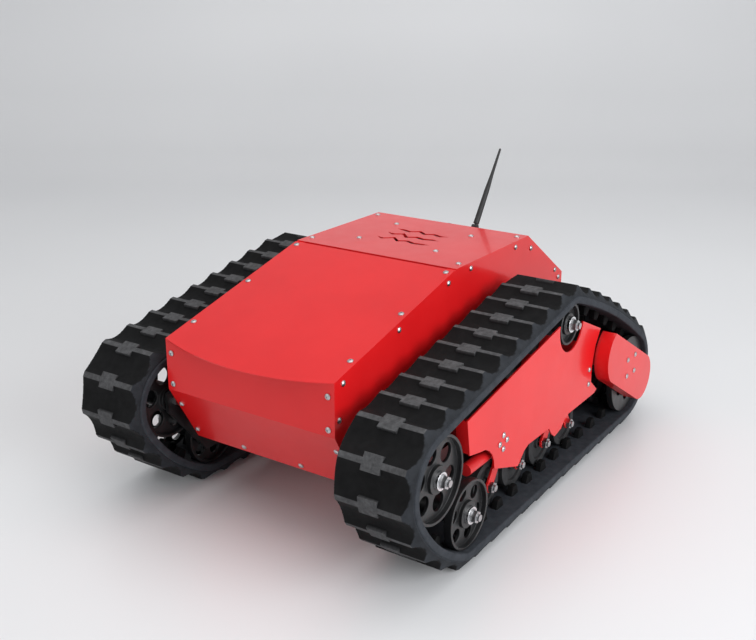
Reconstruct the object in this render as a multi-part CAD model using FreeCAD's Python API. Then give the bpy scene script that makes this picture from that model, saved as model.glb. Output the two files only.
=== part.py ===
import FreeCAD, Part
import math
import os

from FreeCAD import Placement, Rotation, Vector

# Tracked tank chassis, in millimetres.
# +X is forward, +Y is the chassis's left and +Z is up. The origin is on the ground, at the
# middle of the length and of the width. Left-hand pieces are modelled and then mirrored.

# --- driving dimensions ------------------------------------------------------------------

# Hull side profile (x, z), seen from the left: the outer faces of the sheet-metal skins.
DECK_Z = 440.0
FOLD = (72.0, DECK_Z)
NOSE_TOP = (447.5, 345.0)
NOSE_FOLD = (448.0, 249.0)
NOSE_BOTTOM = (381.0, 131.0)
TAIL_BOTTOM = (-395.0, 131.0)
TAIL_TOP = (-395.0, 321.5)
DECK_REAR = (-219.0, DECK_Z)
HULL_PROFILE = [FOLD, NOSE_TOP, NOSE_FOLD, NOSE_BOTTOM, TAIL_BOTTOM, TAIL_TOP, DECK_REAR]
HULL_WIDTH = 367.4
HALF = HULL_WIDTH / 2
SKIN = 2.0
SIDE_SKIN = 3.0
RAIL = 20.0
RAIL_DEPTH = 16.0
LIP_SAG = 31.0
COVER_GAP = 5.0

# Hull screws: button heads.
HEAD_R = 5.3
HEAD_H = 3.0
SHANK_R = 2.5
SHANK_L = 12.0
HOLE_R = 2.6

# Rubber belt.
TRACK_Y = 288.0
TRACK_W = 150.0
CARCASS = 13.5
LUG_H = 20.0
LUG_MARGIN = 12.0
LUG_SKIRT = 1.0
LUG_PITCH = 60.0
BAR_TIP = 8.0
BAR_FOOT = 34.0
BLOCK_L = 28.0
BLOCK_W = 40.0
GUIDE_IN = 30.0
GUIDE_OUT = 44.0
GUIDE_H = 18.0
GUIDE_L = 26.0
LUG_PHASE = 0.5

# Wheel centres (x, z) and the radius of the belt's inner face round each.
GROUND_RUN_Z = CARCASS + LUG_H
IDLER = (402.0, 204.5, 75.0)
RETURN = (-68.0, 326.5, 41.0)
SPROCKET = (-393.0, GROUND_RUN_Z + 84.0, 84.0)
ROAD = (300.0, GROUND_RUN_Z + 62.5, 62.5)
REAR_BULGE = 1500.0
FRONT_BULGE = 300.0
RUN_GAP = 0.4

# Wheels, across the belt, as offsets from the belt's middle.
DISC_IN = 49.0
DISC_OUT = 64.0
RIM = 5.0
WEB = 6.0
HUB_R = 24.0
BEARING_R = 15.5
BEARING_OUT = 69.0
BEARING_SEAT = 56.0
AXLE_R = 6.0
RUNNING = 0.05

# Track frame: inner plate, cross tubes and final-drive back plate.
PLATE_IN = -74.0
PLATE_OUT = -68.0
FRONT_TUBE = (196.5, 190.0, 22.0)
MID_TUBE = (10.0, 205.0, 16.0)
REAR_TUBE = (-157.0, 188.0, 22.0)
BRACE_R = 11.0
BRACE_Y = 335.0
BRACE_Z = 170.0
BRACE_END = 290.0

# Final drive: a chain case outboard of the sprocket.
MOTOR_AXIS = (-236.0, 208.0)
CASE_R = 49.0
CASE_FRONT = [(-211.0, 168.0), (-189.0, 215.0), (-223.0, 268.0)]
COVER_SCREWS = (-317.0, 170.0)
CASE_BACK = 356.5
CASE_PLATE = 5.0
CASE_FACE = 386.0
CASE_WALL = 2.5
SHAFT_R = 10.0
TUBE_R = 20.0
CHAIN_R = 38.0
CHAIN_Y = 364.0
CHAIN_W = 9.0

# Outer suspension plate.
SIDE_BACK = 353.0
SIDE_T = 3.0
FLANGE = 20.0

# Bogies with two rollers each.
ROLLER_R = 47.0
ROLLER_Z = 84.0
ROLLER_HALF_W = 26.0
BOGIE_X = (119.5, -98.5)
BOGIE_Z = 165.0
ROLLER_REACH = 54.5
ARM_IN = 29.5
ARM_T = 5.0
PIN_R = 8.0


# --- helpers -----------------------------------------------------------------------------

def save(name, shape):
    shape.exportStep("parts/" + name + ".step")


def rod(x, z, radius, y0, y1):
    """A cylinder along Y, from y0 to y1."""
    return Part.makeCylinder(radius, y1 - y0, Vector(x, y0, z), Vector(0, 1, 0))


def ring(x, z, outer, inner, y0, y1):
    return rod(x, z, outer, y0, y1).cut(rod(x, z, inner, y0 - 1, y1 + 1))


def face_xz(points, y=0.0):
    """A flat face in the XZ plane from its corner points."""
    corners = [Vector(x, y, z) for x, z in points]
    return Part.Face(Part.makePolygon(corners + [corners[0]]))


def slab(points, y0, y1):
    """A polygon in the XZ plane, thickened along Y."""
    return face_xz(points, y0).extrude(Vector(0, y1 - y0, 0))


def mirrored(shape):
    return shape.mirror(Vector(0, 0, 0), Vector(0, 1, 0))


def both_sides(name, shape):
    save(name + "_left", shape)
    save(name + "_right", mirrored(shape))


def hexagon(x, z, across, y0, y1):
    """A hexagonal prism along Y, such as a nut or a bolt's head."""
    radius = across / math.sqrt(3)
    angles = [math.radians(60 * k + 30) for k in range(6)]
    return slab([(x + radius * math.cos(a), z + radius * math.sin(a)) for a in angles], y0, y1)


def obround(a, b, radius, y0, y1):
    """A solid with round ends about a and b, thickened along Y."""
    dx, dz = b[0] - a[0], b[1] - a[1]
    length = math.hypot(dx, dz)
    nx, nz = -dz / length * radius, dx / length * radius
    middle = slab([(a[0] + nx, a[1] + nz), (b[0] + nx, b[1] + nz),
                   (b[0] - nx, b[1] - nz), (a[0] - nx, a[1] - nz)], y0, y1)
    ends = [rod(a[0], a[1], radius, y0, y1), rod(b[0], b[1], radius, y0, y1)]
    return middle.fuse(ends).removeSplitter()


def inset(points, distance):
    """The corners of a convex outline moved in by a distance."""
    centre_x = sum(p[0] for p in points) / len(points)
    centre_z = sum(p[1] for p in points) / len(points)
    lines = []
    for (x0, z0), (x1, z1) in zip(points, points[1:] + points[:1]):
        length = math.hypot(x1 - x0, z1 - z0)
        nx, nz = (z1 - z0) / length, -(x1 - x0) / length
        if nx * (centre_x - x0) + nz * (centre_z - z0) < 0:
            nx, nz = -nx, -nz
        lines.append((nx, nz, nx * x0 + nz * z0 + distance))
    corners = []
    for (a, b, c), (d, e, f) in zip([lines[-1]] + lines[:-1], lines):
        det = a * e - b * d
        corners.append(((c * e - b * f) / det, (a * f - c * d) / det))
    return corners


def along(start, end, share):
    return (start[0] + (end[0] - start[0]) * share, start[1] + (end[1] - start[1]) * share)


# --- the belt's loop ---------------------------------------------------------------------

WHEELS = [IDLER, RETURN, SPROCKET, ROAD]
BULGES = [0.0, REAR_BULGE, 0.0, FRONT_BULGE]


def span_ends(first, second, bulge, offset):
    """Where the belt leaves the first wheel and meets the second: two angles, and the bulge's circle."""
    x1, z1, r1 = first[0], first[1], first[2] + offset
    x2, z2, r2 = second[0], second[1], second[2] + offset
    dx, dz = x2 - x1, z2 - z1
    distance = math.hypot(dx, dz)
    if not bulge:
        angle = math.atan2(dz, dx) - math.acos((r1 - r2) / distance)
        return angle, angle, None
    radius = bulge + offset
    d1, d2 = radius - r1, radius - r2
    foot = (d1 * d1 - d2 * d2 + distance * distance) / (2 * distance)
    height = math.sqrt(d1 * d1 - foot * foot)
    cx = x1 + foot * dx / distance - height * dz / distance
    cz = z1 + foot * dz / distance + height * dx / distance
    return math.atan2(z1 - cz, x1 - cx), math.atan2(z2 - cz, x2 - cx), (cx, cz, radius)


def arc_edge(cx, cz, radius, start, end):
    while end < start:
        end += 2 * math.pi
    at = [Vector(cx + radius * math.cos(a), 0, cz + radius * math.sin(a))
          for a in (start, (start + end) / 2, end)]
    return Part.Arc(*at).toShape()


def loop_edges(offset):
    """The belt's closed line, a distance outside its inner face: arcs on wheels, spans between."""
    count = len(WHEELS)
    spans = [span_ends(WHEELS[i], WHEELS[(i + 1) % count], BULGES[i], offset) for i in range(count)]
    edges = []
    for i, (x, z, r) in enumerate(WHEELS):
        arrive, leave = spans[i - 1][1], spans[i][0]
        edges.append(arc_edge(x, z, r + offset, arrive, leave))
        start, end, circle = spans[i]
        if circle:
            edges.append(arc_edge(circle[0], circle[1], circle[2], start, end))
        else:
            nx, nz, nr = WHEELS[(i + 1) % count]
            p0 = Vector(x + (r + offset) * math.cos(start), 0, z + (r + offset) * math.sin(start))
            p1 = Vector(nx + (nr + offset) * math.cos(end), 0, nz + (nr + offset) * math.sin(end))
            edges.append(Part.LineSegment(p0, p1).toShape())
    return edges


def loop_stations(offset, pitch, phase):
    """Evenly spaced (x, z, angle) along the loop; the angle turns +Z to the outward normal."""
    edges = loop_edges(offset)
    total = sum(e.Length for e in edges)
    count = round(total / pitch)
    stations = []
    for k in range(count):
        left = (k + phase) * total / count
        for edge in edges:
            if left <= edge.Length:
                break
            left -= edge.Length
        at = edge.getParameterByLength(left)
        point, tangent = edge.valueAt(at), edge.tangentAt(at)
        stations.append((point.x, point.z, math.atan2(tangent.z, -tangent.x)))
    return stations


def place(shape, station):
    x, z, angle = station
    copy = shape.copy()
    copy.Placement = Placement(Vector(x, TRACK_Y, z), Rotation(Vector(0, 1, 0), math.degrees(angle)))
    return copy


def tapered(foot, tip, height, y0, y1, sink):
    """A trapezoid bar across the belt, its foot sunk a little into the carcass."""
    return slab([(-foot / 2, -sink), (foot / 2, -sink), (tip / 2, height), (-tip / 2, height)], y0, y1)


def belt():
    inner = Part.Face(Part.Wire(loop_edges(0.0)))
    outer = Part.Face(Part.Wire(loop_edges(CARCASS)))
    carcass = outer.cut(inner).extrude(Vector(0, TRACK_W, 0))
    carcass.translate(Vector(0, TRACK_Y - TRACK_W / 2, 0))
    reach = TRACK_W / 2 - LUG_MARGIN
    sink = 2.5
    foot = TRACK_W / 2 - LUG_SKIRT
    corners = [Vector(0, -foot, -sink), Vector(0, foot, -sink), Vector(0, foot, 0),
               Vector(0, reach, LUG_H), Vector(0, -reach, LUG_H), Vector(0, -foot, 0)]
    ends = Part.Face(Part.makePolygon(corners + [corners[0]])).extrude(Vector(BAR_FOOT, 0, 0))
    ends.translate(Vector(-BAR_FOOT / 2, 0, 0))
    bar = tapered(BAR_FOOT, BAR_TIP, LUG_H, -foot, foot, sink).common(ends)
    block = tapered(BLOCK_L + 6, BLOCK_L, LUG_H, -BLOCK_W / 2, BLOCK_W / 2, sink)
    lug = bar.fuse(block)
    guide = tapered(GUIDE_L, GUIDE_L - 10, GUIDE_H, GUIDE_IN, GUIDE_OUT, sink)
    guides = [guide, mirrored(guide)]
    pieces = []
    for station in loop_stations(CARCASS, LUG_PITCH, LUG_PHASE):
        pieces.append(place(lug, station))
    for x, z, angle in loop_stations(0.0, LUG_PITCH * loop_ratio(), LUG_PHASE):
        pieces += [place(g, (x, z, angle + math.pi)) for g in guides]
    return carcass.fuse(pieces)


def loop_ratio():
    """Inner length over outer length, so that the guides stand under the lugs."""
    return sum(e.Length for e in loop_edges(0.0)) / sum(e.Length for e in loop_edges(CARCASS))


# --- wheels ------------------------------------------------------------------------------

def track_wheel(wheel, holes, hub_r):
    """Two rimmed discs on one hub; the belt's guide lugs run between the discs."""
    x, z, r = wheel[0], wheel[1], wheel[2] - RUN_GAP
    body = rod(x, z, hub_r, TRACK_Y - DISC_OUT + 2, TRACK_Y + DISC_OUT - 2)
    for side in (-1, 1):
        y0, y1 = sorted((TRACK_Y + side * DISC_IN, TRACK_Y + side * DISC_OUT))
        w0, w1 = sorted((TRACK_Y + side * DISC_IN, TRACK_Y + side * (DISC_IN + WEB)))
        body = body.fuse([ring(x, z, r, r - RIM, y0, y1), rod(x, z, r - RIM / 2, w0, w1)])
    cuts = [rod(x, z, AXLE_R + 2, TRACK_Y - DISC_OUT - 1, TRACK_Y + DISC_OUT + 1)]
    for side in (-1, 1):
        y0, y1 = sorted((TRACK_Y + side * BEARING_SEAT, TRACK_Y + side * (DISC_OUT + 1)))
        cuts.append(rod(x, z, BEARING_R + RUNNING, y0, y1))
    hole_at = (hub_r + r - RIM) / 2
    hole_r = (r - RIM - hub_r) * 0.36
    for k in range(holes):
        angle = 2 * math.pi * (k + 0.25) / holes
        hx, hz = x + hole_at * math.cos(angle), z + hole_at * math.sin(angle)
        cuts.append(rod(hx, hz, hole_r, TRACK_Y - DISC_OUT - 1, TRACK_Y + DISC_OUT + 1))
    return body.cut(cuts)


def wheel_bearings(wheel):
    """The outer bearing stands proud of its wheel; the inner one is flush."""
    x, z = wheel[0], wheel[1]
    outer = ring(x, z, BEARING_R, AXLE_R, TRACK_Y + BEARING_SEAT, TRACK_Y + BEARING_OUT)
    inner = ring(x, z, BEARING_R, AXLE_R, TRACK_Y - DISC_OUT, TRACK_Y - BEARING_SEAT)
    return [outer, inner]


def axle_bolt(wheel):
    """Hex bolt from the inner plate's inboard face, with a spacer, washer and nut."""
    x, z = wheel[0], wheel[1]
    inboard = TRACK_Y + PLATE_IN
    tip = TRACK_Y + 84.0
    bolt = rod(x, z, AXLE_R, inboard, tip).fuse(hexagon(x, z, 19.0, inboard - 7.5, inboard))
    spacer = ring(x, z, 9.0, AXLE_R, TRACK_Y + PLATE_OUT, TRACK_Y - DISC_OUT)
    washer = ring(x, z, 12.0, AXLE_R, TRACK_Y + BEARING_OUT, TRACK_Y + BEARING_OUT + 1.5)
    nut_at = TRACK_Y + BEARING_OUT + 1.5
    nut = hexagon(x, z, 19.0, nut_at, nut_at + 8.5).cut(rod(x, z, AXLE_R, nut_at - 1, nut_at + 9.5))
    return [bolt, spacer, washer, nut]


def drive_sprocket():
    """Two carrier discs and a toothed ring between the belt's guide rows."""
    x, z, r = SPROCKET
    body = rod(x, z, 28.0, TRACK_Y - DISC_OUT, TRACK_Y + DISC_OUT)
    for side in (-1, 1):
        y0, y1 = sorted((TRACK_Y + side * (DISC_IN + 2), TRACK_Y + side * DISC_OUT))
        body = body.fuse(rod(x, z, r - RUN_GAP, y0, y1))
    teeth = 9
    tip, root = r - RUN_GAP, r - 17.0
    points = []
    for k in range(teeth):
        for share, radius in ((-0.30, root), (-0.12, tip), (0.12, tip), (0.30, root)):
            angle = 2 * math.pi * (k + share) / teeth
            points.append((x + radius * math.cos(angle), z + radius * math.sin(angle)))
    body = body.fuse(slab(points, TRACK_Y - 12, TRACK_Y + 12))
    cuts = [rod(x, z, SHAFT_R, TRACK_Y - DISC_OUT - 1, TRACK_Y + DISC_OUT + 1)]
    for k in range(6):
        angle = math.radians(60 * k + 30)
        hx, hz = x + 48 * math.cos(angle), z + 48 * math.sin(angle)
        cuts.append(rod(hx, hz, 12.0, TRACK_Y - DISC_OUT - 1, TRACK_Y + DISC_OUT + 1))
    return body.cut(cuts)


def chain_wheel(x, z):
    """A toothed chain wheel inside the case."""
    teeth = 19
    root, tip = CHAIN_R - 5, CHAIN_R - 0.6
    points = []
    for k in range(teeth):
        for share, radius in ((-0.28, root), (-0.1, tip), (0.1, tip), (0.28, root)):
            angle = 2 * math.pi * (k + share) / teeth
            points.append((x + radius * math.cos(angle), z + radius * math.sin(angle)))
    return slab(points, CHAIN_Y + 1, CHAIN_Y + CHAIN_W - 1)


def drive_shaft():
    """Sprocket shaft with the driven chain wheel welded to its outer end."""
    x, z = SPROCKET[0], SPROCKET[1]
    shaft = rod(x, z, SHAFT_R, TRACK_Y + PLATE_IN - 6, CASE_FACE - CASE_WALL - 2)
    return shaft.fuse(chain_wheel(x, z))


def motor_shaft():
    """Output shaft from the gear motor in the hull out to the driving chain wheel."""
    x, z = MOTOR_AXIS
    shaft = rod(x, z, SHAFT_R, 120.0, CASE_FACE - CASE_WALL - 2)
    return shaft.fuse(chain_wheel(x, z))


def drive_chain():
    """The roller chain's outer shape, as a closed band round both chain wheels."""
    outer = obround(MOTOR_AXIS, SPROCKET[:2], CHAIN_R + 4.5, CHAIN_Y, CHAIN_Y + CHAIN_W)
    inner = obround(MOTOR_AXIS, SPROCKET[:2], CHAIN_R, CHAIN_Y - 1, CHAIN_Y + CHAIN_W + 1)
    return outer.cut(inner)


def chain_cover():
    """Sheet-metal cover of the final drive: a pan with round ends, open at the back."""
    back = CASE_BACK + CASE_PLATE
    outline = case_outline()
    pocket = outline.makeOffset2D(-CASE_WALL)
    outer = lifted(outline, back, CASE_FACE)
    holes = [rod(x, z, HOLE_R, back, CASE_FACE + 1) for x, z in cover_screw_places()]
    return outer.cut([lifted(pocket, back - 1, CASE_FACE - CASE_WALL)] + holes)


def lifted(face, y0, y1):
    """A flat face drawn at y = 0, thickened from y0 to y1."""
    solid = face.extrude(Vector(0, y1 - y0, 0))
    solid.translate(Vector(0, y0, 0))
    return solid


def case_outline():
    """Flat outline of the chain case: round about the sprocket's shaft, bowed at its front end."""
    cx, cz = SPROCKET[:2]
    low, bow, high = CASE_FRONT
    ends = []
    for (x, z), side in ((high, 1), (low, -1)):
        distance = math.hypot(x - cx, z - cz)
        angle = math.atan2(z - cz, x - cx) + side * math.acos(CASE_R / distance)
        ends.append(Vector(cx + CASE_R * math.cos(angle), 0, cz + CASE_R * math.sin(angle)))
    back = Vector(cx - CASE_R * math.cos(0.55), 0, cz - CASE_R * math.sin(0.55))
    corners = [Vector(x, 0, z) for x, z in (low, bow, high)]
    edges = [Part.LineSegment(corners[2], ends[0]).toShape(),
             Part.Arc(ends[0], back, ends[1]).toShape(),
             Part.LineSegment(ends[1], corners[0]).toShape(),
             Part.Arc(*corners).toShape()]
    return Part.Face(Part.Wire(edges))


def cover_screw_places():
    """Four screws in a square near the middle of the cover."""
    x, z = COVER_SCREWS
    return [(x + 20.0 * a, z + 18.0 * b) for a, b in ((1, 1), (1, -1), (-1, 1), (-1, -1))]


# --- track frame and outer plate ----------------------------------------------------------

def inner_plate_outline():
    return [(424, 222), (424, 186), (330, 74), (278, 74), (238, 128), (-230, 128), (-372, 92),
            (-416, 92), (-416, 142), (-262, 262), (-92, 344), (-44, 344), (60, 318)]


def track_frame():
    """Weldment inside the belt's loop: inner plate, cross tubes, brace and case back plate."""
    y0, y1 = TRACK_Y + PLATE_IN, TRACK_Y + PLATE_OUT
    plate = slab(inner_plate_outline(), y0, y1)
    tubes = []
    for x, z, r in (FRONT_TUBE, MID_TUBE, REAR_TUBE):
        tubes.append(rod(x, z, r, HALF, SIDE_BACK))
    case = lifted(case_outline(), CASE_BACK, CASE_BACK + CASE_PLATE)
    shaft_tube = rod(MOTOR_AXIS[0], MOTOR_AXIS[1], TUBE_R, HALF, CASE_BACK)
    brace_start = Vector(FRONT_TUBE[0], BRACE_Y, BRACE_Z)
    brace = Part.makeCylinder(BRACE_R, BRACE_END - FRONT_TUBE[0], brace_start, Vector(1, 0, 0))
    body = plate.fuse(tubes + [case, shaft_tube, brace])
    cuts = [rod(MOTOR_AXIS[0], MOTOR_AXIS[1], SHAFT_R + 3, HALF - 1, CASE_BACK - 3)]
    cuts.append(rod(MOTOR_AXIS[0], MOTOR_AXIS[1], BEARING_R, CASE_BACK - 3, CASE_BACK + CASE_PLATE + 1))
    cuts.append(rod(SPROCKET[0], SPROCKET[1], BEARING_R, y0 - 1, CASE_BACK + CASE_PLATE + 1))
    for x, z, _ in (IDLER, RETURN, ROAD):
        cuts.append(rod(x, z, AXLE_R, y0 - 1, y1 + 1))
    for x in BOGIE_X:
        cuts.append(rod(x, BOGIE_Z, PIN_R, y0 - 1, y1 + 1))
    for x, z, r in (FRONT_TUBE, MID_TUBE, REAR_TUBE):
        cuts.append(rod(x, z, r - 4, HALF - 1, SIDE_BACK - 12))
    for x, z in side_screw_places():
        cuts.append(rod(x, z, HOLE_R, SIDE_BACK - 10, SIDE_BACK + 1))
    return body.cut(cuts)


def side_screw_places():
    """Four screws in the front tube's end and two in the rear tube's end."""
    x, z, _ = FRONT_TUBE
    rear_x, rear_z, _ = REAR_TUBE
    front = [(x + 13, z), (x, z + 13), (x - 13, z), (x, z - 13)]
    return front + [(rear_x - 9, rear_z + 15.5), (rear_x - 9, rear_z - 15.5)]


def suspension_outline():
    """The outer plate's face: a sloping top edge, two pointed lobes below and a nose notch."""
    notch_x, notch_z, notch_r = 278.0, 151.0, 53.0
    steps = [math.radians(a) for a in range(180, 80, -18)]
    notch = [(notch_x + notch_r * math.cos(a), notch_z + notch_r * math.sin(a)) for a in steps]
    lobes = [(-200, 141), (-78, 141), (-60, 136), (-46, 122), (-18, 116), (-4, 126), (10, 143),
             (95, 145), (112, 139), (135, 118)]
    return [(-212, 146)] + lobes + notch + [(314, 212), (325, 277), (-20, 338), (-120, 318), (-211, 277),
                                            (-190, 247), (-179, 205), (-180, 172)]


def suspension_plate():
    """Outer side plate with flanges bent inward at its front and rear edges."""
    face = slab(suspension_outline(), SIDE_BACK, SIDE_BACK + SIDE_T)
    front = slab([(314, 214), (311, 214), (322, 276), (325, 276)], SIDE_BACK - FLANGE, SIDE_BACK)
    rear = slab([(-211, 277), (-190, 247), (-180.8, 212), (-177.8, 212), (-187, 248), (-207, 277)],
                SIDE_BACK - FLANGE, SIDE_BACK)
    body = face.fuse([front, rear])
    cuts = [rod(RETURN[0], RETURN[1], RETURN[2] + 12, SIDE_BACK - FLANGE - 1, SIDE_BACK + SIDE_T + 1)]
    cuts += [rod(x, z, HOLE_R, SIDE_BACK - 1, SIDE_BACK + SIDE_T + 1) for x, z in side_screw_places()]
    return body.cut(cuts)


# --- bogies -------------------------------------------------------------------------------

def bogie_arm(x):
    """Two triangular arms on one pivot tube, with a roller axle through each lower corner."""
    ears = [(x, BOGIE_Z), (x + ROLLER_REACH, ROLLER_Z), (x - ROLLER_REACH, ROLLER_Z)]
    body = rod(x, BOGIE_Z, PIN_R + 6, TRACK_Y - ARM_IN - ARM_T, TRACK_Y + ARM_IN + ARM_T)
    for side in (-1, 1):
        y0, y1 = sorted((TRACK_Y + side * ARM_IN, TRACK_Y + side * (ARM_IN + ARM_T)))
        arms = [obround(ears[0], ear, 11.0, y0, y1) for ear in ears[1:]]
        tie = slab([(x - 20, BOGIE_Z - 12), (x + 20, BOGIE_Z - 12), (x + 34, BOGIE_Z - 50),
                    (x - 34, BOGIE_Z - 50)], y0, y1)
        body = body.fuse(arms + [tie, rod(x, BOGIE_Z, 17.0, y0, y1)])
    y0, y1 = TRACK_Y - ARM_IN - ARM_T - 1, TRACK_Y + ARM_IN + ARM_T + 1
    cuts = [rod(x, BOGIE_Z, PIN_R + RUNNING, y0, y1)]
    cuts += [rod(ex, ez, AXLE_R, y0, y1) for ex, ez in ears[1:]]
    return body.cut(cuts).removeSplitter()


def bogie_axles(x):
    """Two hex bolts with nuts, one through each roller."""
    solids = []
    for side in (-1, 1):
        ax = x + side * ROLLER_REACH
        inboard, outboard = TRACK_Y - ARM_IN - ARM_T, TRACK_Y + ARM_IN + ARM_T
        bolt = rod(ax, ROLLER_Z, AXLE_R, inboard, outboard + 12)
        bolt = bolt.fuse(hexagon(ax, ROLLER_Z, 18.0, inboard - 7, inboard))
        nut = hexagon(ax, ROLLER_Z, 18.0, outboard, outboard + 8)
        solids += [bolt, nut.cut(rod(ax, ROLLER_Z, AXLE_R, outboard - 1, outboard + 9))]
    return Part.makeCompound(solids)


def road_roller(x):
    """A rubber-tyred roller that runs between the belt's guide rows."""
    y0, y1 = TRACK_Y - ROLLER_HALF_W, TRACK_Y + ROLLER_HALF_W
    body = rod(x, ROLLER_Z, ROLLER_R, y0, y1)
    cuts = [ring(x, ROLLER_Z, ROLLER_R - 12, 14.0, y0 - 1, y0 + 6),
            ring(x, ROLLER_Z, ROLLER_R - 12, 14.0, y1 - 6, y1 + 1)]
    cuts.append(rod(x, ROLLER_Z, AXLE_R + RUNNING, y0 - 1, y1 + 1))
    return body.cut(cuts)


# --- hull --------------------------------------------------------------------------------

INNER_PROFILE = inset(HULL_PROFILE, SKIN)
RAIL_PROFILE = inset(HULL_PROFILE, SKIN + RAIL)


def skin_strip(first, last):
    """The sheet that covers the profile's edges from one corner to another."""
    outer = HULL_PROFILE[first:last + 1]
    inner = INNER_PROFILE[first:last + 1]
    return slab(outer + inner[::-1], -HALF, HALF)


def glacis_cover():
    """The sloping front cover; its lower edge is an arc that overhangs the nose."""
    length = math.hypot(NOSE_TOP[0] - FOLD[0], NOSE_TOP[1] - FOLD[1])
    corner = [Vector(COVER_GAP, -HALF, 0), Vector(length, -HALF, 0), Vector(length, HALF, 0),
              Vector(COVER_GAP, HALF, 0)]
    edges = [Part.LineSegment(corner[0], corner[1]).toShape(),
             Part.Arc(corner[1], Vector(length + LIP_SAG, 0, 0), corner[2]).toShape(),
             Part.LineSegment(corner[2], corner[3]).toShape(),
             Part.LineSegment(corner[3], corner[0]).toShape()]
    sheet = Part.Face(Part.Wire(edges)).extrude(Vector(0, 0, -SKIN))
    angle = math.degrees(math.atan2(FOLD[1] - NOSE_TOP[1], NOSE_TOP[0] - FOLD[0]))
    sheet.Placement = Placement(Vector(FOLD[0], 0, FOLD[1]), Rotation(Vector(0, 1, 0), angle))
    return sheet


def claw_slot(x, width, kinks):
    """One jagged vent slot: a zigzag band that tapers to a point at both ends."""
    half = 64.0
    steps = len(kinks) - 1
    left, right = [], []
    for k, shift in enumerate(kinks):
        y = -half + 2 * half * k / steps - 6.0
        spread = 0.0 if k in (0, steps) else width / 2
        left.append((x + shift - spread, y))
        right.append((x + shift + spread, y))
    points = left + right[-2:0:-1]
    corners = [Vector(px, py, DECK_Z - SKIN - 1) for px, py in points]
    return Part.Face(Part.makePolygon(corners + [corners[0]])).extrude(Vector(0, 0, SKIN + 2))


def top_plate():
    front_x = FOLD[0] - 1.0
    under = DECK_Z - SKIN
    sheet = slab([(front_x, DECK_Z), DECK_REAR, INNER_PROFILE[6], (front_x, under)], -HALF, HALF)
    lip_half = HALF - SIDE_SKIN - RAIL_DEPTH - 2
    lip = slab([(front_x - SKIN, under - 10), (front_x, under - 10), (front_x, under),
                (front_x - SKIN, under)], -lip_half, lip_half)
    slots = [claw_slot(-117, 9.0, (-3, 0, 6, -6, 7, -1, 6, 0)),
             claw_slot(-79, 9.5, (-6, 3, -9, 9, -1, 5, 0, 1)),
             claw_slot(-41, 9.0, (-5, 4, -12, 5, -4, 4, 2, 0))]
    return sheet.fuse(lip).cut(slots)


def hull_frame():
    """Welded rail frame: a rail loop inside each side plate, and cross rails at the corners."""
    loop = face_xz(INNER_PROFILE).cut(face_xz(RAIL_PROFILE))
    inside = HALF - SIDE_SKIN
    pieces = []
    for y in (-inside, inside - RAIL_DEPTH):
        rail = loop.extrude(Vector(0, RAIL_DEPTH, 0))
        rail.translate(Vector(0, y, 0))
        pieces.append(rail)
    for index in (1, 3, 4, 5, 6):
        x, z = INNER_PROFILE[index]
        disc = rod(x, z, RAIL + 2, -inside + 1, inside - 1)
        bar = loop.extrude(Vector(0, 2 * inside - 2, 0))
        bar.translate(Vector(0, -inside + 1, 0))
        pieces.append(bar.common(disc))
    return pieces[0].fuse(pieces[1:])


def screw(position, normal, head_r=HEAD_R, shank=SHANK_L):
    """A button-head screw: its head stands on the face at position."""
    base = Vector(*position)
    out = Vector(*normal)
    head = Part.makeCylinder(head_r, HEAD_H * 0.45, base, out)
    crown_base = base + out * (HEAD_H * 0.45)
    crown = Part.makeCone(head_r, head_r * 0.55, HEAD_H * 0.55, crown_base, out)
    stem = Part.makeCylinder(SHANK_R, shank, base - out * shank, out)
    socket = Part.makeCylinder(head_r * 0.36, HEAD_H * 0.7, base + out * (HEAD_H * 0.35), out)
    return head.fuse([crown, stem]).cut(socket)


def screw_hole(position, normal, depth=SHANK_L + 2):
    base, out = Vector(*position), Vector(*normal)
    return Part.makeCylinder(HOLE_R, depth + 1, base - out * depth, out)


def hull_screw_places():
    """Every hull screw as (position, outward normal)."""
    places = []
    gx, gz = facet_normal(FOLD, NOSE_TOP)
    edge_y = 172.0
    for share in (0.045, 0.44, 0.84):
        x, z = along(FOLD, NOSE_TOP, share)
        places += [((x, side * edge_y, z), (gx, 0, gz)) for side in (-1, 1)]
    for x in (40.0, -196.0):
        places += [((x, side * 170.0, DECK_Z), (0, 0, 1)) for side in (-1, 1)]
    places += [((x, y, DECK_Z), (0, 0, 1)) for x, y in fan_screw_places()]
    for z in (319.5, 261.5):
        places += [((NOSE_FOLD[0], side * 171.0, z), (1, 0, 0)) for side in (-1, 1)]
    nx, nz = facet_normal(NOSE_FOLD, NOSE_BOTTOM)
    for share in (0.28, 0.82):
        x, z = along(NOSE_FOLD, NOSE_BOTTOM, share)
        places += [((x, side * 173.0, z), (nx, 0, nz)) for side in (-1, 1)]
    x, z = along(NOSE_FOLD, NOSE_BOTTOM, 0.9)
    places += [((x, y, z), (nx, 0, nz)) for y in (-65.0, 65.0)]
    nx, nz = facet_normal(TAIL_TOP, DECK_REAR)
    for share in (0.12, 0.80):
        x, z = along(TAIL_TOP, DECK_REAR, share)
        places += [((x, side * 171.0, z), (nx, 0, nz)) for side in (-1, 1)]
    for z in (286.0, 190.0):
        places += [((TAIL_TOP[0], side * 171.0, z), (-1, 0, 0)) for side in (-1, 1)]
    for x in (340.0, 130.0, -140.0, -350.0):
        places += [((x, side * 171.0, NOSE_BOTTOM[1]), (0, 0, -1)) for side in (-1, 1)]
    sides = [(424, 337), (436, 277), (262, 379), (99, 420), (18, 428.5), (-163, 428.5), (-233, 411),
             (-356, 335), (-376, 314), (-383, 225), (-383, 150), (-250, 143), (-80, 143), (90, 143),
             (260, 143), (366, 145), (401, 190)]
    for x, z in sides:
        places += [((x, side * HALF, z), (0, side, 0)) for side in (-1, 1)]
    return places


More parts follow.
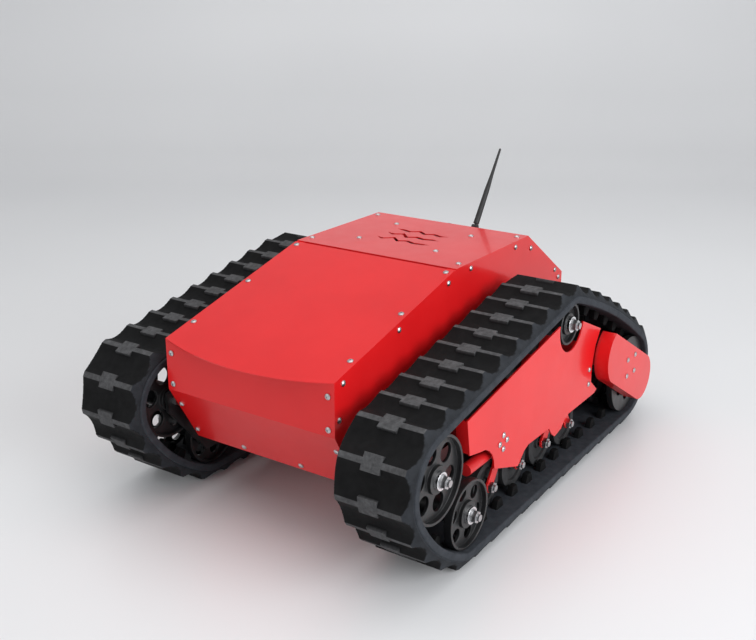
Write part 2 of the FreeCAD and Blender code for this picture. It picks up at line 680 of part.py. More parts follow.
def facet_normal(start, end):
    """The normal that points away from the hull's middle."""
    length = math.hypot(end[0] - start[0], end[1] - start[1])
    nx, nz = (end[1] - start[1]) / length, -(end[0] - start[0]) / length
    if nx * start[0] + nz * (start[1] - 260.0) < 0:
        nx, nz = -nx, -nz
    return nx, nz


def gear_motor():
    """Gearbox and motor on the hull's side plate; its bore takes the output shaft."""
    x, z = MOTOR_AXIS
    inside = HALF - SIDE_SKIN
    gearbox = rod(x, z, 40.0, inside - 62, inside)
    body = gearbox.fuse([rod(x, z, 34.0, 32.0, inside - 62), rod(x, z, 12.0, 26.0, 32.0)])
    return body.cut(rod(x, z, SHAFT_R + RUNNING, 119.0, inside + 1))


# --- deck fittings ------------------------------------------------------------------------

FAN_X = -79.0
FAN_HALF = 60.0
FAN_TOP = DECK_Z - SKIN - 12.0
FAN_DEPTH = 25.0


def fan_screw_places():
    return [(x, y) for x in (FAN_X - 70.0, FAN_X + 68.0) for y in (-90.0, 90.0)]


def fan_bracket():
    """Plate under the vents that holds the fan, on four folded feet."""
    plate = Part.makeBox(150, 192, 2, Vector(FAN_X - 75, -96, FAN_TOP))
    feet, taps = [], []
    for x, y in fan_screw_places():
        feet.append(Part.makeCylinder(5.0, DECK_Z - SKIN - FAN_TOP - 2, Vector(x, y, FAN_TOP + 2)))
        taps.append(Part.makeCylinder(HOLE_R, 20, Vector(x, y, FAN_TOP - 1)))
    mouth = Part.makeCylinder(56.0, 4, Vector(FAN_X, 0, FAN_TOP - 1))
    return plate.fuse(feet).cut([mouth] + taps)


def fan_frame():
    box = Part.makeBox(2 * FAN_HALF, 2 * FAN_HALF, FAN_DEPTH,
                       Vector(FAN_X - FAN_HALF, -FAN_HALF, FAN_TOP - FAN_DEPTH))
    throat = Part.makeCylinder(57.0, FAN_DEPTH + 2, Vector(FAN_X, 0, FAN_TOP - FAN_DEPTH - 1))
    body = box.cut(throat)
    floor_z = FAN_TOP - FAN_DEPTH
    struts = []
    for angle in (45, 135, 225, 315):
        strut = Part.makeBox(44, 5, 3, Vector(16, -2.5, 0))
        strut.Placement = Placement(Vector(FAN_X, 0, floor_z), Rotation(Vector(0, 0, 1), angle))
        struts.append(strut)
    cup = Part.makeCylinder(19.0, 3, Vector(FAN_X, 0, floor_z))
    axle = Part.makeCylinder(2.5, 12, Vector(FAN_X, 0, floor_z))
    return body.fuse(struts + [cup, axle])


def fan_rotor():
    """Hub with seven pitched blades, on the fan frame's axle."""
    floor_z = FAN_TOP - FAN_DEPTH + 4
    hub = Part.makeCylinder(20.0, 17, Vector(FAN_X, 0, floor_z))
    blades = []
    for k in range(7):
        blade = Part.makeBox(36, 2, 20, Vector(18, -1, -10))
        pitch = Placement(Vector(0, 0, 0), Rotation(Vector(1, 0, 0), 48))
        turn = Placement(Vector(FAN_X, 0, floor_z + 9), Rotation(Vector(0, 0, 1), 360.0 * k / 7))
        blade.Placement = turn.multiply(pitch)
        blades.append(blade)
    return hub.fuse(blades).cut(Part.makeCylinder(2.5 + RUNNING, 10, Vector(FAN_X, 0, floor_z - 1)))


ANTENNA_X = -268.0
ANTENNA_Y = 27.0
ANTENNA_PIVOT = 20.0
REAR_NORMAL = facet_normal(TAIL_TOP, DECK_REAR)


def on_rear_slope(x, y):
    share = (x - TAIL_TOP[0]) / (DECK_REAR[0] - TAIL_TOP[0])
    return Vector(x, y, along(TAIL_TOP, DECK_REAR, share)[1])


def stood_on_slope(shape, x, y):
    """Stands a shape, modelled along +Z from the origin, upright on the rear slope."""
    tilt = math.degrees(math.atan2(REAR_NORMAL[0], REAR_NORMAL[1]))
    shape.Placement = Placement(on_rear_slope(x, y), Rotation(Vector(0, 1, 0), tilt))
    return shape


def post(radius, z0, z1):
    return Part.makeCylinder(radius, z1 - z0, Vector(0, 0, z0))


def antenna_base():
    """Bulkhead connector through the rear slope."""
    return stood_on_slope(post(7.0, 0, 3).fuse(post(3.2, -12, 12)), ANTENNA_X, ANTENNA_Y)


def antenna_elbow():
    """Knurled collar and fork; it turns on the connector and carries the whip."""
    cheek = rod(0, ANTENNA_PIVOT, 5.5, 3.6, 6.4).fuse(Part.makeBox(9, 2.8, 8, Vector(-4.5, 3.6, 12)))
    body = post(6.5, 3.5, 14.5).fuse([cheek, mirrored(cheek)])
    body = body.cut([post(3.2 + RUNNING, 3, 12.5), rod(0, ANTENNA_PIVOT, 1.5 + RUNNING, -8, 8)])
    return stood_on_slope(body, ANTENNA_X, ANTENNA_Y)


def antenna_whip():
    """Rubber whip on a hinge pin: thick sleeve, tapering neck and thin tip."""
    z = ANTENNA_PIVOT
    knuckle = rod(0, z, 5.0, -3.3, 3.3).fuse([rod(0, z, 1.5, -6.4, 6.4), post(3.0, z, z + 10)])
    sleeve = Part.makeCone(6.2, 5.4, 80.0, Vector(0, 0, z + 8))
    taper = Part.makeCone(5.4, 3.4, 40.0, Vector(0, 0, z + 88))
    tip = Part.makeCone(3.4, 2.4, 56.0, Vector(0, 0, z + 128))
    cap = Part.makeSphere(2.4, Vector(0, 0, z + 184))
    return stood_on_slope(knuckle.fuse([sleeve, taper, tip, cap]), ANTENNA_X, ANTENNA_Y)


BUTTON_X = -248.0
BUTTON_Y = -17.0


def button_bezel():
    body = post(13.0, 0, 5).fuse(post(11.0, -20, 0)).cut(post(9.0, -12, 6))
    return stood_on_slope(body, BUTTON_X, BUTTON_Y)


def power_button():
    return stood_on_slope(post(9.0 - RUNNING, -8, 9), BUTTON_X, BUTTON_Y)


# --- build --------------------------------------------------------------------------------

def build_hull():
    places = hull_screw_places()
    holes = [screw_hole(p, n) for p, n in places]
    save("hull_screws", Part.makeCompound([screw(p, n) for p, n in places]))
    glacis = glacis_cover()
    inside = HALF - SIDE_SKIN
    side = slab(INNER_PROFILE, inside, HALF)
    axis_hole = rod(MOTOR_AXIS[0], MOTOR_AXIS[1], SHAFT_R + 3, inside - 1, HALF + 1)
    out = Vector(REAR_NORMAL[0], 0, REAR_NORMAL[1])
    fittings = [Part.makeCylinder(3.2, 6, on_rear_slope(ANTENNA_X, ANTENNA_Y) - out * 4, out),
                Part.makeCylinder(11.0, 6, on_rear_slope(BUTTON_X, BUTTON_Y) - out * 4, out)]
    save("left_side_plate", side.cut(axis_hole).cut(holes))
    save("right_side_plate", mirrored(side.cut(axis_hole)).cut(holes))
    save("glacis_cover", glacis.cut(holes))
    save("top_plate", top_plate().cut(holes))
    save("front_plate", skin_strip(1, 3).cut(glacis).cut(holes))
    save("floor_plate", skin_strip(3, 4).cut(holes))
    save("rear_cover", skin_strip(4, 6).cut(holes + fittings))
    save("hull_frame", hull_frame().cut(holes))
    motor = gear_motor()
    save("gear_motors", Part.makeCompound([motor, mirrored(motor)]))
    floor_top = NOSE_BOTTOM[1] + SKIN
    save("battery_pack", Part.makeBox(210, 150, 85, Vector(60, -75, floor_top)))
    save("motor_driver", Part.makeBox(120, 110, 38, Vector(-140, -55, floor_top)))


def build_deck():
    save("fan_bracket", fan_bracket())
    save("fan_frame", fan_frame())
    save("fan_rotor", fan_rotor())
    save("antenna_base", antenna_base())
    save("antenna_elbow", antenna_elbow())
    save("antenna_whip", antenna_whip())
    save("button_bezel", button_bezel())
    save("power_button", power_button())


def build_tracks():
    both_sides("track_belt", belt())
    both_sides("drive_sprocket", drive_sprocket())
    both_sides("drive_shaft", drive_shaft())
    both_sides("motor_shaft", motor_shaft())
    chain = drive_chain()
    save("drive_chains", Part.makeCompound([chain, mirrored(chain)]))
    both_sides("chain_cover", chain_cover())
    both_sides("track_frame", track_frame())
    both_sides("suspension_plate", suspension_plate())
    both_sides("idler_wheel", track_wheel(IDLER, 6, HUB_R))
    both_sides("road_wheel", track_wheel(ROAD, 6, HUB_R))
    both_sides("return_roller", track_wheel(RETURN, 0, HUB_R - 3))
    for name, x, rollers in (("front", BOGIE_X[0], (1, 2)), ("rear", BOGIE_X[1], (3, 4))):
        both_sides(name + "_bogie_arm", bogie_arm(x))
        both_sides(name + "_bogie_axles", bogie_axles(x))
        both_sides("road_roller_%d" % rollers[0], road_roller(x + ROLLER_REACH))
        both_sides("road_roller_%d" % rollers[1], road_roller(x - ROLLER_REACH))


def build_shared_track_hardware():
    bearings, bolts, screws = [], [], []
    for wheel in (IDLER, ROAD, RETURN):
        bearings += wheel_bearings(wheel)
        bolts += axle_bolt(wheel)
    plate_y = TRACK_Y + PLATE_IN
    bore = SHAFT_R + RUNNING
    bearings.append(ring(SPROCKET[0], SPROCKET[1], BEARING_R, bore, plate_y - 1, plate_y + 7))
    for x, z in (SPROCKET[:2], MOTOR_AXIS):
        bearings.append(ring(x, z, BEARING_R, bore, CASE_BACK - 1, CASE_BACK + CASE_PLATE + 1))
    for x in BOGIE_X:
        bolts.append(rod(x, BOGIE_Z, PIN_R, plate_y - 2, SIDE_BACK))
    for x, z in side_screw_places():
        screws.append(screw((x, SIDE_BACK + SIDE_T, z), (0, 1, 0), shank=10.0))
    for x, z in cover_screw_places():
        screws.append(screw((x, CASE_FACE, z), (0, 1, 0), shank=8.0))
    for name, solids in (("bearings", bearings), ("axle_bolts", bolts), ("side_screws", screws)):
        save(name, Part.makeCompound(solids + [mirrored(s) for s in solids]))


def main():
    os.makedirs("parts", exist_ok=True)
    build_hull()
    build_deck()
    build_tracks()
    build_shared_track_hardware()


main()
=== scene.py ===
import math

import bmesh
import bpy
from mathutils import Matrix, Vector


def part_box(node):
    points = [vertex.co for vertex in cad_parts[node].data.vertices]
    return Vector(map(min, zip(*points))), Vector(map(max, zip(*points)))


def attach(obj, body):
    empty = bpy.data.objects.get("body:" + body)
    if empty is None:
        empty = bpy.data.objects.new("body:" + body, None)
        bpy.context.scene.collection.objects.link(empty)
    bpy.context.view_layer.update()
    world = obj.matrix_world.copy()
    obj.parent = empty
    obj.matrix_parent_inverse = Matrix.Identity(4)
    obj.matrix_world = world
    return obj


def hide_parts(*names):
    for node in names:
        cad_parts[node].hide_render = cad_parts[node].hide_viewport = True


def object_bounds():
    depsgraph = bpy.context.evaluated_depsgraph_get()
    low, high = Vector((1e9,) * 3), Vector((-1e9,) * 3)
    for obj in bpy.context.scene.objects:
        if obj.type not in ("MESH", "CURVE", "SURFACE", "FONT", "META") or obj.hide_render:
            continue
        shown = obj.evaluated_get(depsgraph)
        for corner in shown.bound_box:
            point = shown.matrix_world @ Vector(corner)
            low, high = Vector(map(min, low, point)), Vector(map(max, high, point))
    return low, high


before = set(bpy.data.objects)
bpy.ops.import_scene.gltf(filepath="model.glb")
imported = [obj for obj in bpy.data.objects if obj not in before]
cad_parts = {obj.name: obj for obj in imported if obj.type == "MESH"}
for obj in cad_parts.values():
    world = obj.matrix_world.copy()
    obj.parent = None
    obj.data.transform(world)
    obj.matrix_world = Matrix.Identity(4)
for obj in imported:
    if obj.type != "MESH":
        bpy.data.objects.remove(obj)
cad_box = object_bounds()

# Looks for a tracked tank chassis: materials for its parts, two rubber belts and the studio.

MM = 0.001
SIDES = {"left": 1, "right": -1}
# Inboard of this |y| the track frame's colour is painted dark as shade.
INNER_PLATE_Y = 221.0 * MM
COAT_GRAIN = 900.0

# --- node material helpers -----------------------------------------------------------------


class Nodes:
    """A material's node tree, with short names for the nodes used here."""

    def __init__(self, name):
        self.material = bpy.data.materials.new(name)
        self.material.use_nodes = True
        self.tree = self.material.node_tree
        self.bsdf = self.tree.nodes["Principled BSDF"]
        self.coords = self.tree.nodes.new("ShaderNodeTexCoord").outputs["Object"]

    def link(self, a, b):
        self.tree.links.new(a, b)

    def noise(self, scale, detail=3.0, rough=0.5, vector=None):
        node = self.tree.nodes.new("ShaderNodeTexNoise")
        node.inputs["Scale"].default_value = scale
        node.inputs["Detail"].default_value = detail
        node.inputs["Roughness"].default_value = rough
        self.link(vector or self.coords, node.inputs["Vector"])
        return node.outputs["Fac"]

    def stretched(self, x, y, z):
        node = self.tree.nodes.new("ShaderNodeMapping")
        node.inputs["Scale"].default_value = (x, y, z)
        self.link(self.coords, node.inputs["Vector"])
        return node.outputs["Vector"]

    def ramp(self, fac, stops):
        node = self.tree.nodes.new("ShaderNodeValToRGB")
        node.color_ramp.elements[0].position = stops[0][0]
        node.color_ramp.elements[0].color = (*stops[0][1], 1)
        node.color_ramp.elements[1].position = stops[-1][0]
        node.color_ramp.elements[1].color = (*stops[-1][1], 1)
        for place, colour in stops[1:-1]:
            node.color_ramp.elements.new(place).color = (*colour, 1)
        self.link(fac, node.inputs["Fac"])
        return node.outputs["Color"]

    def spread(self, fac, low, high):
        node = self.tree.nodes.new("ShaderNodeMapRange")
        node.inputs["To Min"].default_value = low
        node.inputs["To Max"].default_value = high
        self.link(fac, node.inputs["Value"])
        return node.outputs["Result"]

    def mix(self, fac, a, b):
        node = self.tree.nodes.new("ShaderNodeMix")
        node.data_type = "RGBA"
        self.link(fac, node.inputs["Factor"])
        self.link(a, node.inputs["A"])
        self.link(b, node.inputs["B"])
        return node.outputs["Result"]

    def attribute(self, name):
        node = self.tree.nodes.new("ShaderNodeAttribute")
        node.attribute_name = name
        return node.outputs["Fac"]

    def math(self, operation, a, b):
        node = self.tree.nodes.new("ShaderNodeMath")
        node.operation = operation
        self.link(a, node.inputs[0])
        if isinstance(b, float):
            node.inputs[1].default_value = b
        else:
            self.link(b, node.inputs[1])
        return node.outputs["Value"]

    def bump(self, height, strength, distance):
        node = self.tree.nodes.new("ShaderNodeBump")
        node.inputs["Strength"].default_value = strength
        node.inputs["Distance"].default_value = distance
        self.link(height, node.inputs["Height"])
        self.link(node.outputs["Normal"], self.bsdf.inputs["Normal"])

    def colour(self, socket):
        self.link(socket, self.bsdf.inputs["Base Color"])

    def rough(self, socket):
        self.link(socket, self.bsdf.inputs["Roughness"])

    def settings(self, **values):
        for name, value in values.items():
            self.bsdf.inputs[name.replace("_", " ")].default_value = value


def red_powder_coat():
    m = Nodes("red_powder_coat")
    m.settings(Coat_Weight=0.5, Coat_Roughness=0.12, Coat_IOR=1.4, Specular_IOR_Level=0.2)
    m.colour(m.ramp(m.noise(6.0, 4.0), [(0.3, (0.66, 0.008, 0.010)), (0.7, (0.74, 0.012, 0.014))]))
    m.rough(m.spread(m.noise(30.0, 5.0), 0.26, 0.40))
    m.bump(m.noise(COAT_GRAIN, 2.0), 0.05, 0.0003)
    return m.material


def frame_coat():
    """The track frame's weldment: its tubes and case are red, and its inner plate is painted dark as shade.
    """
    m = Nodes("frame_coat")
    m.settings(Coat_Weight=0.2, Coat_Roughness=0.2)
    red = m.ramp(m.noise(14.0, 4.0), [(0.3, (0.55, 0.008, 0.010)), (0.7, (0.68, 0.012, 0.015))])
    # Painted shade: the inner plate is coloured very dark where it lies in shadow.
    painted_shade = m.ramp(m.noise(40.0, 5.0), [(0.3, (0.008, 0.008, 0.009)), (0.7, (0.022, 0.022, 0.024))])
    split = m.tree.nodes.new("ShaderNodeSeparateXYZ")
    m.link(m.coords, split.inputs["Vector"])
    outboard = m.math("GREATER_THAN", m.math("ABSOLUTE", split.outputs["Y"], 0.0), INNER_PLATE_Y)
    m.colour(m.mix(outboard, painted_shade, red))
    m.rough(m.spread(m.noise(40.0, 5.0), 0.34, 0.52))
    m.bump(m.noise(COAT_GRAIN, 2.0), 0.08, 0.0003)
    return m.material


def belt_rubber():
    """Moulded rubber: dark flanks, scuffed grey lug tops, a blue-grey painted sheen along each lit edge."""
    m = Nodes("belt_rubber")
    dust = m.noise(55.0, 6.0, 0.65)
    dark = m.ramp(dust, [(0.3, (0.0015, 0.0015, 0.0018)), (0.75, (0.0055, 0.0055, 0.006))])
    scuffs = m.noise(140.0, 6.0, 0.7)
    worn = m.ramp(scuffs, [(0.3, (0.055, 0.055, 0.057)), (0.7, (0.13, 0.13, 0.135))])
    # Painted light: this blue-grey stands for light falling on the side faces and lug-end facets.
    edge_sheen = m.ramp(dust, [(0.3, (0.024, 0.027, 0.033)), (0.75, (0.048, 0.053, 0.062))])
    patchy = m.math("MULTIPLY", m.attribute("worn"), m.spread(m.noise(60.0, 5.0), 0.4, 1.1))
    with_sheen = m.mix(m.attribute("edge"), dark, edge_sheen)
    m.colour(m.mix(patchy, with_sheen, worn))
    m.settings(Specular_IOR_Level=0.18)
    m.rough(m.spread(m.noise(80.0, 4.0), 0.62, 0.88))
    m.bump(m.noise(700.0, 6.0, 0.7), 0.35, 0.0006)
    return m.material


def roller_rubber():
    m = Nodes("roller_rubber")
    grime = m.noise(60.0, 5.0)
    m.colour(m.ramp(grime, [(0.3, (0.012, 0.012, 0.013)), (0.7, (0.035, 0.035, 0.037))]))
    m.rough(m.spread(m.noise(90.0, 4.0), 0.55, 0.8))
    m.bump(m.noise(500.0, 5.0), 0.3, 0.0005)
    return m.material


def black_wheel():
    m = Nodes("black_wheel")
    m.settings(Coat_Weight=0.25, Coat_Roughness=0.25)
    grime = m.noise(40.0, 5.0)
    m.colour(m.ramp(grime, [(0.3, (0.004, 0.004, 0.0045)), (0.72, (0.013, 0.013, 0.0145))]))
    m.rough(m.spread(m.noise(70.0, 4.0), 0.32, 0.55))
    m.bump(m.noise(800.0, 3.0), 0.1, 0.0004)
    return m.material


def metal(name, low, high, rough_low, rough_high, grain):
    m = Nodes(name)
    m.settings(Metallic=1.0)
    m.colour(m.ramp(m.noise(120.0, 4.0), [(0.3, low), (0.7, high)]))
    m.rough(m.spread(m.noise(60.0, 5.0, 0.6, m.stretched(1, 12, 1)), rough_low, rough_high))
    m.bump(m.noise(900.0, 4.0, 0.6, m.stretched(1, 8, 1)), grain, 0.0003)
    return m.material


def plastic(name, low, high, rough_low, rough_high):
    m = Nodes(name)
    m.colour(m.ramp(m.noise(80.0, 4.0), [(0.3, low), (0.7, high)]))
    m.rough(m.spread(m.noise(120.0, 3.0), rough_low, rough_high))
    m.bump(m.noise(1200.0, 3.0), 0.12, 0.0003)
    return m.material


MATERIALS = {
    "red": red_powder_coat(),
    "frame": frame_coat(),
    "belt": belt_rubber(),
    "tyre": roller_rubber(),
    "wheel": black_wheel(),
    "zinc": metal("zinc_steel", (0.46, 0.46, 0.47), (0.62, 0.62, 0.63), 0.22, 0.38, 0.05),
    "chrome": metal("bearing_chrome", (0.80, 0.80, 0.82), (0.92, 0.92, 0.93), 0.08, 0.2, 0.02),
    "steel": metal("dark_steel", (0.28, 0.28, 0.29), (0.42, 0.42, 0.43), 0.3, 0.5, 0.08),
    "plastic": plastic("black_plastic", (0.004, 0.004, 0.0045), (0.011, 0.011, 0.012), 0.4, 0.6),
    "cap": plastic("gloss_cap", (0.008, 0.008, 0.009), (0.018, 0.018, 0.02), 0.12, 0.22),
    "wrap": plastic("cell_wrap", (0.02, 0.06, 0.22), (0.03, 0.09, 0.30), 0.25, 0.4),
}

NODE_LOOKS = {
    "track_belt": "belt", "road_roller": "tyre",
    "idler_wheel": "wheel", "road_wheel": "wheel", "return_roller": "wheel", "drive_sprocket": "wheel",
    "bearings": "chrome", "hull_screws": "zinc", "side_screws": "zinc", "axle_bolts": "zinc",
    "front_bogie_axles": "zinc", "rear_bogie_axles": "zinc",
    "drive_shaft": "steel", "motor_shaft": "steel", "drive_chains": "steel", "gear_motors": "steel",
    "antenna_base": "zinc", "antenna_elbow": "plastic", "antenna_whip": "plastic",
    "button_bezel": "zinc", "power_button": "cap",
    "fan_frame": "plastic", "fan_rotor": "plastic", "motor_driver": "plastic",
    "battery_pack": "wrap", "track_frame": "frame",
}


def look_of(node):
    """The material of a CAD node, by the start of its name; every other node is red."""
    for key, look in NODE_LOOKS.items():
        if node.startswith(key):
            return MATERIALS[look]
    return MATERIALS["red"]


# --- the CAD nodes' looks -------------------------------------------------------------------

SHARP = math.radians(32)
WELD_GAP = 0.00002
USUAL_EDGE = 0.8
EDGE_WIDTH = {"drive_chains": 0.3, "hull_screws": 0.35, "side_screws": 0.35, "bearings": 0.5,
              "axle_bolts": 0.5}
SHEETS = ("glacis_cover", "top_plate", "front_plate", "floor_plate", "rear_cover",
          "left_side_plate", "right_side_plate", "suspension_plate_left", "suspension_plate_right",
          "hull_frame", "fan_bracket")


def soften(obj, width, segments=2):
    """Welds the mesh, rounds its sharp edges (width in millimetres) and shades the rest smooth."""
    weld = obj.modifiers.new("weld", "WELD")
    weld.merge_threshold = WELD_GAP
    bevel = obj.modifiers.new("bevel", "BEVEL")
    bevel.width = width * MM
    bevel.segments = segments
    bevel.limit_method = "ANGLE"
    bevel.angle_limit = SHARP
    bevel.use_clamp_overlap = True
    weighted = obj.modifiers.new("weighted", "WEIGHTED_NORMAL")
    weighted.mode = "FACE_AREA_WITH_ANGLE"
    weighted.weight = 100


for name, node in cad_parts.items():
    node.data.materials.clear()
    node.data.materials.append(look_of(name))
    for polygon in node.data.polygons:
        polygon.use_smooth = name not in SHEETS
    if name not in SHEETS:
        soften(node, EDGE_WIDTH.get(name, USUAL_EDGE))


# --- mesh helpers ---------------------------------------------------------------------------

def add_object(name, mesh, material, body):
    """A smooth-shaded piece that rides on a body."""
    obj = bpy.data.objects.new(name, mesh)
    bpy.context.scene.collection.objects.link(obj)
    mesh.materials.append(material)
    for polygon in mesh.polygons:
        polygon.use_smooth = True
    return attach(obj, body)


def wheel_of(node):
    """Centre (x, z) and radius of a wheel that turns about Y, from its CAD box."""
    low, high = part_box(node)
    return (low.x + high.x) / 2, (low.z + high.z) / 2, (high.z - low.z) / 2


# --- rubber belts ---------------------------------------------------------------------------

TRACK_Y = 288.0 * MM
RUN_GAP = 0.4 * MM
CARCASS = 13.5 * MM
LUG_H = 20.0 * MM
LUG_PITCH = 60 * MM
LUG_PHASE = 0.5
LOOP_NODES = ("idler_wheel", "return_roller", "drive_sprocket", "road_wheel")
# Radius, in metres, of the curve the belt takes after each of those wheels; 0 is straight.
BULGES = (0.0, 1.5, 0.0, 0.3)


def loop_wheels(side):
    """The wheels the belt runs round, in order, each with the radius of the belt's inner face."""
    wheels = []
    for node in LOOP_NODES:
        x, z, r = wheel_of(node + "_" + side)
        wheels.append((x, z, r + RUN_GAP))
    return wheels


def span_ends(first, second, bulge):
    """Angles where the belt leaves one wheel and meets the next, and the bulge's circle."""
    (x1, z1, r1), (x2, z2, r2) = first, second
    dx, dz = x2 - x1, z2 - z1
    distance = math.hypot(dx, dz)
    if not bulge:
        angle = math.atan2(dz, dx) - math.acos((r1 - r2) / distance)
        return angle, angle, None
    d1, d2 = bulge - r1, bulge - r2
    foot = (d1 * d1 - d2 * d2 + distance * distance) / (2 * distance)
    height = math.sqrt(d1 * d1 - foot * foot)
    cx = x1 + foot * dx / distance - height * dz / distance
    cz = z1 + foot * dz / distance + height * dx / distance
    return math.atan2(z1 - cz, x1 - cx), math.atan2(z2 - cz, x2 - cx), (cx, cz, bulge)


def loop_pieces(wheels):
    """The belt's inner line as (length, point_at) pieces; point_at gives (x, z, outward angle)."""
    count = len(wheels)
    spans = [span_ends(wheels[i], wheels[(i + 1) % count], BULGES[i]) for i in range(count)]
    pieces = []

    def arc(cx, cz, r, start, end):
        while end < start:
            end += 2 * math.pi
        pieces.append(((end - start) * (r + CARCASS),
                       lambda t: (cx + r * math.cos(start + (end - start) * t),
                                  cz + r * math.sin(start + (end - start) * t),
                                  start + (end - start) * t)))

    def line(x0, z0, x1, z1, angle):
        pieces.append((math.hypot(x1 - x0, z1 - z0),
                       lambda t: (x0 + (x1 - x0) * t, z0 + (z1 - z0) * t, angle)))

    for i, (x, z, r) in enumerate(wheels):
        arc(x, z, r, spans[i - 1][1], spans[i][0])
        start, end, circle = spans[i]
        if circle:
            arc(*circle, start, end)
            continue
        nx, nz, nr = wheels[(i + 1) % count]
        x0, z0 = x + r * math.cos(start), z + r * math.sin(start)
        x1, z1 = nx + nr * math.cos(end), nz + nr * math.sin(end)
        line(x0, z0, x1, z1, start)
    return pieces


HALF_W = 75.0 * MM
CREST_END = 62.0 * MM
SKIRT_END = 74.0 * MM
CREST_HALF = 4.0 * MM
FLANK = 24.0 * MM
VALLEY = 7.5 * MM
RIDGE_CURVE = 1.9
WORN_FROM = 0.985
BLOCK_ALONG = 12.5 * MM
BLOCK_ACROSS = 18.0 * MM
EDGE_R = 3.0 * MM


def lug_height(along, across):
    """The tread's height above the carcass, how worn the spot is, and how much painted edge sheen it gets.
    """
    a, y = abs(along), abs(across)
    slope = max(0.0, 1.0 - max(a - CREST_HALF, 0.0) / FLANK)
    ridge = VALLEY + (LUG_H - VALLEY) * slope ** RIDGE_CURVE
    facet = LUG_H * min(1.0, max(0.0, (SKIRT_END - y) / (SKIRT_END - CREST_END)))
    if a < BLOCK_ALONG and y < BLOCK_ACROSS:
        return LUG_H, 1.0, 0.0
    if facet < ridge:
        # Lug-end facets take part of the painted edge sheen.
        return facet, 0.0, 0.45 + 0.25 * facet / LUG_H
    return ridge, 1.0 if ridge > WORN_FROM * LUG_H else 0.0, 0.0


def both_ways(*millimetres):
    """The same distances either side of zero, in metres and in order."""
    return sorted({-v * MM for v in millimetres} | {v * MM for v in millimetres})


ALONG = both_ways(0, 3.4, 4.0, 4.6, 6, 8, 10, 12.2, 12.5, 12.8, 15, 18, 22, 26)
ACROSS = both_ways(0, 9, 17.6, 18.0, 18.4, 34, 48, 58, 61.6, 62.4, 64, 65.5, 67, 69, 71, 72.6)


def tread_station(bm, layers, point, y_mid, along):
    """One ring of vertices round the belt: the tread's outside, the two edges and the inside."""
    worn, edge = layers
    x, z, angle = point
    out = Vector((math.cos(angle), 0, math.sin(angle)))
    ring = []

    def put(y, height, w, e):
        vert = bm.verts.new(Vector((x, y_mid + y, z)) + out * height)
        vert[worn], vert[edge] = w, e
        ring.append(vert)

    for y in ACROSS:
        height, w, e = lug_height(along, y)
        put(y, CARCASS + height, w, e)
    corners = ((HALF_W - EDGE_R, CARCASS - EDGE_R, 90), (HALF_W - EDGE_R, EDGE_R, 0),
               (-HALF_W + EDGE_R, EDGE_R, -90), (-HALF_W + EDGE_R, CARCASS - EDGE_R, -180))
    # The rounded belt edges take the full painted edge sheen.
    for cy, ch, start in corners:
        for step in range(4):
            a = math.radians(start - 30 * step)
            put(cy + EDGE_R * math.cos(a), ch + EDGE_R * math.sin(a), 0.0, 1.0)
    return ring


def walk(pieces, distance):
    """The point (x, z, outward angle) a distance round the loop, measured along the outer face."""
    for length, point_at in pieces:
        if distance <= length:
            return point_at(distance / length)
        distance -= length
    return pieces[-1][1](1.0)


GUIDE_ROWS = ((30, 44), (-44, -30))
# Across a guide lug, in millimetres: place (-1 to 1), half length at foot and top, and height.
GUIDE_SECTIONS = ((-1.0, 11, 5, 13), (-0.75, 13, 7.5, 17.4), (0.0, 13, 8, 18), (0.75, 13, 7.5, 17.4),
                  (1.0, 11, 5, 13))


def guide_lug(bm, point, y_mid, inner, outer):
    """A guide lug on the inside of the belt, as a closed tapered block with rounded flanks."""
    x, z, angle = point
    out = -Vector((math.cos(angle), 0, math.sin(angle)))
    along = Vector((-math.sin(angle), 0, math.cos(angle)))
    middle, half = (inner + outer) / 2, (outer - inner) / 2
    rings = []
    for share, foot, top, height in GUIDE_SECTIONS:
        waist = foot * 0.72 + top * 0.28
        profile = [(foot, -1.5), (waist, height * 0.3), (top + 0.6, height - 2), (top - 1, height)]
        profile += [(-a, h) for a, h in profile[::-1]]
        base = Vector((x, y_mid + (middle + share * half) * MM, z))
        rings.append([bm.verts.new(base + along * (a * MM) + out * (h * MM)) for a, h in profile])
    close_tube(bm, rings)
    bm.faces.new(rings[0][::-1])
    bm.faces.new(rings[-1])


def close_tube(bm, rings, wrap=False):
    """Skins a row of vertex rings; wrap joins the last ring to the first."""
    pairs = list(zip(rings, rings[1:])) + ([(rings[-1], rings[0])] if wrap else [])
    for one, two in pairs:
        count = len(one)
        for k in range(count):
            bm.faces.new((one[k], one[(k + 1) % count], two[(k + 1) % count], two[k]))


def belt(side):
    """One rubber belt with its tread and guide lugs, in place of the CAD belt."""
    y_mid = SIDES[side] * TRACK_Y
    pieces = loop_pieces(loop_wheels(side))
    total = sum(length for length, _ in pieces)
    count = round(total / LUG_PITCH)
    pitch = total / count
    bm = bmesh.new()
    layers = (bm.verts.layers.float.new("worn"), bm.verts.layers.float.new("edge"))
    rings = []
    for k in range(count):
        centre = (k + LUG_PHASE) * pitch
        for along in ALONG:
            point = walk(pieces, (centre + along) % total)
            rings.append(tread_station(bm, layers, point, y_mid, along))
        for inner, outer in GUIDE_ROWS:
            guide_lug(bm, walk(pieces, centre % total), y_mid, inner, outer)
    close_tube(bm, rings, wrap=True)
    bmesh.ops.recalc_face_normals(bm, faces=bm.faces)
    mesh = bpy.data.meshes.new("belt_" + side)
    bm.to_mesh(mesh)
    bm.free()
    piece = add_object("rubber_belt_" + side, mesh, MATERIALS["belt"], "hull")
    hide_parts("track_belt_" + side)
    soften(piece, 0.5, 1)


for side in SIDES:
    belt(side)


# --- stage ----------------------------------------------------------------------------------

def stage_material(name, low, high, roughness):
    m = Nodes(name)
    m.colour(m.ramp(m.noise(0.6, 2.0), [(0.3, low), (0.7, high)]))
    m.settings(Roughness=roughness)
    return m.material


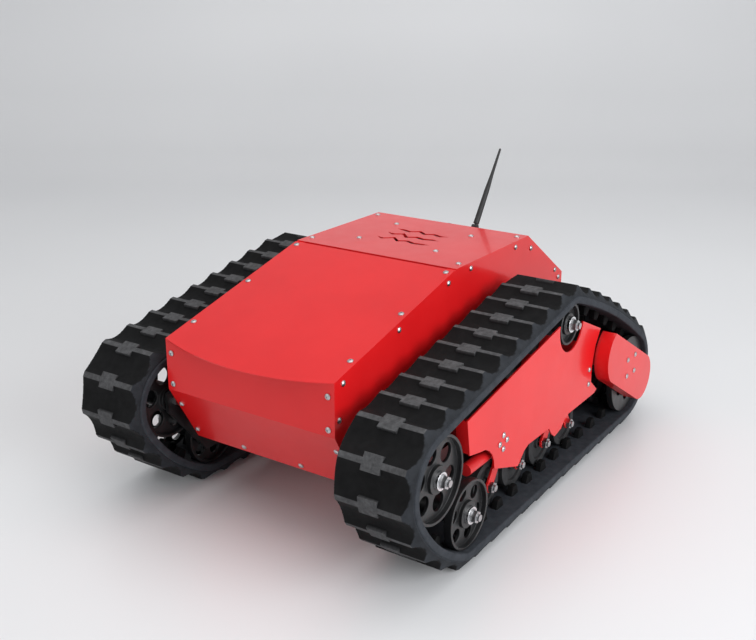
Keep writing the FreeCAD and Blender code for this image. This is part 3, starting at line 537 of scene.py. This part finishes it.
# The studio's section: distance along the floor, and height, in metres.
STUDIO_SECTION = ((9.0, 0.0), (-2.6, 0.0), (-3.1, 0.07), (-3.5, 0.3), (-3.7, 0.7), (-3.8, 1.3), (-3.8, 6.0))
STUDIO_HALF_WIDTH = 9.0
STUDIO_TURN = math.radians(34)
FLOOR_GAP = 0.0005


def studio():
    """A seamless pale floor that curves up into a pale wall behind the object."""
    bm = bmesh.new()
    rows = []
    for x, z in STUDIO_SECTION:
        rows.append([bm.verts.new((x, y, z)) for y in (-STUDIO_HALF_WIDTH, STUDIO_HALF_WIDTH)])
    for one, two in zip(rows, rows[1:]):
        bm.faces.new((one[0], one[1], two[1], two[0]))
    mesh = bpy.data.meshes.new("studio")
    bm.to_mesh(mesh)
    bm.free()
    floor = bpy.data.objects.new("studio_floor", mesh)
    bpy.context.scene.collection.objects.link(floor)
    pale = stage_material("pale_floor", (0.74, 0.74, 0.75), (0.78, 0.78, 0.79), 0.32)
    mesh.materials.append(pale)
    for polygon in mesh.polygons:
        polygon.use_smooth = True
    floor.rotation_euler = (0, 0, STUDIO_TURN)
    floor.location.z = cad_box[0].z - FLOOR_GAP


def area_light(name, place, target, size, power, colour):
    """A rectangular light; size in metres and power in watts."""
    data = bpy.data.lights.new(name, "AREA")
    data.shape = "RECTANGLE"
    data.size, data.size_y = size
    data.energy = power
    data.color = colour
    light = bpy.data.objects.new(name, data)
    light.location = place
    light.rotation_euler = (Vector(target) - Vector(place)).to_track_quat("-Z", "Y").to_euler()
    bpy.context.scene.collection.objects.link(light)


def lights():
    """A large soft light above, a window on the left, a weak fill in front and a pale sky."""
    area_light("ceiling", (0.2, 0.1, 3.0), (0, 0, 0.2), (3.5, 3.5), 42, (1.0, 0.99, 0.97))
    area_light("window", (0.6, 3.4, 1.7), (0, 0, 0.25), (3.0, 2.2), 96, (0.96, 0.98, 1.0))
    area_light("fill", (3.6, -1.6, 1.5), (0, 0, 0.25), (2.5, 1.8), 18, (1.0, 0.99, 0.98))
    world = bpy.data.worlds.new("studio_world")
    world.use_nodes = True
    world.node_tree.nodes["Background"].inputs["Color"].default_value = (0.86, 0.88, 0.90, 1)
    world.node_tree.nodes["Background"].inputs["Strength"].default_value = 0.6
    bpy.context.scene.world = world


CAMERA_PLACE = Vector((1.6713, 1.0967, 0.9816))
CAMERA_AZIMUTH = math.radians(34.15)
CAMERA_ELEVATION = math.radians(19.20)
LENS = 50.10


def camera():
    data = bpy.data.cameras.new("camera")
    data.lens = LENS
    data.sensor_width = 36.0
    data.clip_start, data.clip_end = 0.05, 50.0
    obj = bpy.data.objects.new("camera", data)
    level = math.cos(CAMERA_ELEVATION)
    toward = Vector((-level * math.cos(CAMERA_AZIMUTH), -level * math.sin(CAMERA_AZIMUTH),
                     -math.sin(CAMERA_ELEVATION)))
    obj.location = CAMERA_PLACE
    obj.rotation_euler = toward.to_track_quat("-Z", "Y").to_euler()
    bpy.context.scene.collection.objects.link(obj)
    bpy.context.scene.camera = obj


studio()
lights()
camera()
bpy.context.scene.view_settings.view_transform = "Standard"

bpy.context.view_layer.update()
